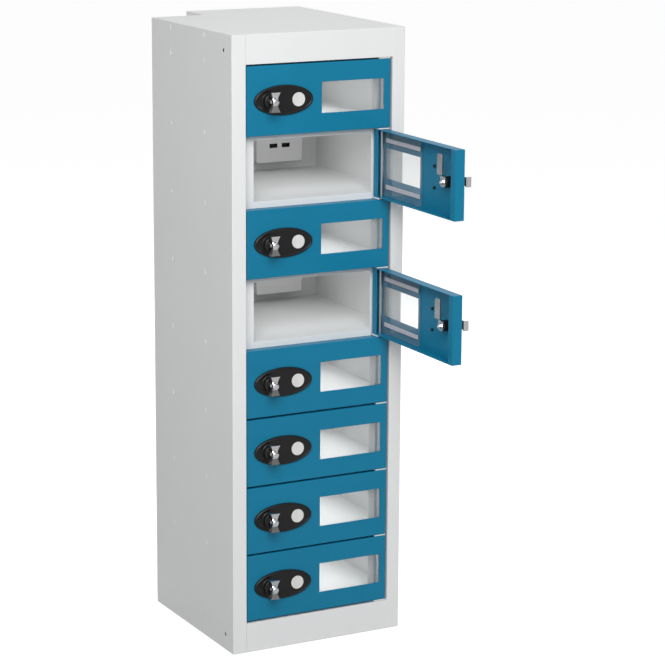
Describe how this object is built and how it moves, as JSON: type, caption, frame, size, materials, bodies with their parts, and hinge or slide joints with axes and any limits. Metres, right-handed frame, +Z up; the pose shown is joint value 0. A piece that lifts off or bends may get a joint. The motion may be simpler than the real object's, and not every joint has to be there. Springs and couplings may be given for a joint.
{
  "type": "device charging locker",
  "caption": "Tall narrow sheet-steel locker with small hinged doors, each with a window and turn lock, and a USB charging socket in every compartment.",
  "frame": {"origin": "middle of the footprint of cabinet and duct, on the floor plane under the base panel", "axes": "+Z up, -Y out of the front where the doors are, +X towards the hinge side"},
  "size_m": [0.305, 0.6053, 1],
  "materials": {
    "cabinet_paint": "light grey powder coat, satin",
    "door_paint": "blue powder coat, satin",
    "clear_acrylic": "clear polished acrylic sheet",
    "black_plastic": "black moulded, satin",
    "polished_chrome": "polished nickel-chrome on a zinc casting",
    "plated_steel": "bright zinc plate",
    "socket_plastic": "white moulded, gloss",
    "tap_plastic": "grey moulded",
    "cable_jacket": "black flexible jacket"
  },
  "bodies": {
    "cabinet": {"side_panel_left": "cabinet_paint", "side_panel_right": "cabinet_paint", "door_post_left": "cabinet_paint", "door_post_right": "cabinet_paint", "back_panel": "cabinet_paint", "top_panel": "cabinet_paint", "base_panel": "cabinet_paint", "header_rail": "cabinet_paint", "plinth_rail": "cabinet_paint", "shelves": "cabinet_paint", "hinge_lugs": "cabinet_paint", "hinge_rod": "plated_steel", "rear_duct": "cabinet_paint", "duct_screws": "plated_steel", "socket_boxes": "socket_plastic", "socket_plates": "socket_plastic", "usb_ports": "black_plastic", "tap_connectors": "tap_plastic", "supply_cable": "cable_jacket", "mains_gland": "black_plastic"},
    "door_1": {"door_panel_1": "door_paint", "door_pane_1": "clear_acrylic", "lock_plate_1": "black_plastic"},
    "lock_1": {"lock_turn_1": "polished_chrome", "lock_cam_1": "plated_steel"},
    "door_2": {"door_panel_2": "door_paint", "door_pane_2": "clear_acrylic", "lock_plate_2": "black_plastic"},
    "lock_2": {"lock_turn_2": "polished_chrome", "lock_cam_2": "plated_steel"},
    "door_3": {"door_panel_3": "door_paint", "door_pane_3": "clear_acrylic", "lock_plate_3": "black_plastic"},
    "lock_3": {"lock_turn_3": "polished_chrome", "lock_cam_3": "plated_steel"},
    "door_4": {"door_panel_4": "door_paint", "door_pane_4": "clear_acrylic", "lock_plate_4": "black_plastic"},
    "lock_4": {"lock_turn_4": "polished_chrome", "lock_cam_4": "plated_steel"},
    "door_5": {"door_panel_5": "door_paint", "door_pane_5": "clear_acrylic", "lock_plate_5": "black_plastic"},
    "lock_5": {"lock_turn_5": "polished_chrome", "lock_cam_5": "plated_steel"},
    "door_6": {"door_panel_6": "door_paint", "door_pane_6": "clear_acrylic", "lock_plate_6": "black_plastic"},
    "lock_6": {"lock_turn_6": "polished_chrome", "lock_cam_6": "plated_steel"},
    "door_7": {"door_panel_7": "door_paint", "door_pane_7": "clear_acrylic", "lock_plate_7": "black_plastic"},
    "lock_7": {"lock_turn_7": "polished_chrome", "lock_cam_7": "plated_steel"},
    "door_8": {"door_panel_8": "door_paint", "door_pane_8": "clear_acrylic", "lock_plate_8": "black_plastic"},
    "lock_8": {"lock_turn_8": "polished_chrome", "lock_cam_8": "plated_steel"}
  },
  "joints": [
    {"name": "door_1_hinge", "type": "hinge", "parent": "cabinet", "child": "door_1", "pos_m": [0.117, -0.1765, 0.89569], "axis": [0, 0, 1], "range_deg": [0, 100]},
    {"name": "lock_1_turn", "type": "hinge", "parent": "door_1", "child": "lock_1", "pos_m": [-0.089, -0.185, 0.89569], "axis": [0, -1, 0], "range_deg": [0, 180]},
    {"name": "door_2_hinge", "type": "hinge", "parent": "cabinet", "child": "door_2", "pos_m": [0.117, -0.1765, 0.78306], "axis": [0, 0, 1], "range_deg": [-90, 10]},
    {"name": "lock_2_turn", "type": "hinge", "parent": "door_2", "child": "lock_2", "pos_m": [0.1255, -0.3825, 0.78306], "axis": [1, 0, 0], "range_deg": [-90, 90]},
    {"name": "door_3_hinge", "type": "hinge", "parent": "cabinet", "child": "door_3", "pos_m": [0.117, -0.1765, 0.67044], "axis": [0, 0, 1], "range_deg": [0, 100]},
    {"name": "lock_3_turn", "type": "hinge", "parent": "door_3", "child": "lock_3", "pos_m": [-0.089, -0.185, 0.67044], "axis": [0, -1, 0], "range_deg": [0, 180]},
    {"name": "door_4_hinge", "type": "hinge", "parent": "cabinet", "child": "door_4", "pos_m": [0.117, -0.1765, 0.55781], "axis": [0, 0, 1], "range_deg": [-90, 10]},
    {"name": "lock_4_turn", "type": "hinge", "parent": "door_4", "child": "lock_4", "pos_m": [0.1255, -0.3825, 0.55781], "axis": [1, 0, 0], "range_deg": [-90, 90]},
    {"name": "door_5_hinge", "type": "hinge", "parent": "cabinet", "child": "door_5", "pos_m": [0.117, -0.1765, 0.44519], "axis": [0, 0, 1], "range_deg": [0, 100]},
    {"name": "lock_5_turn", "type": "hinge", "parent": "door_5", "child": "lock_5", "pos_m": [-0.089, -0.185, 0.44519], "axis": [0, -1, 0], "range_deg": [0, 180]},
    {"name": "door_6_hinge", "type": "hinge", "parent": "cabinet", "child": "door_6", "pos_m": [0.117, -0.1765, 0.33256], "axis": [0, 0, 1], "range_deg": [0, 100]},
    {"name": "lock_6_turn", "type": "hinge", "parent": "door_6", "child": "lock_6", "pos_m": [-0.089, -0.185, 0.33256], "axis": [0, -1, 0], "range_deg": [0, 180]},
    {"name": "door_7_hinge", "type": "hinge", "parent": "cabinet", "child": "door_7", "pos_m": [0.117, -0.1765, 0.21994], "axis": [0, 0, 1], "range_deg": [0, 100]},
    {"name": "lock_7_turn", "type": "hinge", "parent": "door_7", "child": "lock_7", "pos_m": [-0.089, -0.185, 0.21994], "axis": [0, -1, 0], "range_deg": [0, 180]},
    {"name": "door_8_hinge", "type": "hinge", "parent": "cabinet", "child": "door_8", "pos_m": [0.117, -0.1765, 0.10731], "axis": [0, 0, 1], "range_deg": [0, 100]},
    {"name": "lock_8_turn", "type": "hinge", "parent": "door_8", "child": "lock_8", "pos_m": [-0.089, -0.185, 0.10731], "axis": [0, -1, 0], "range_deg": [0, 180]}
  ]
}
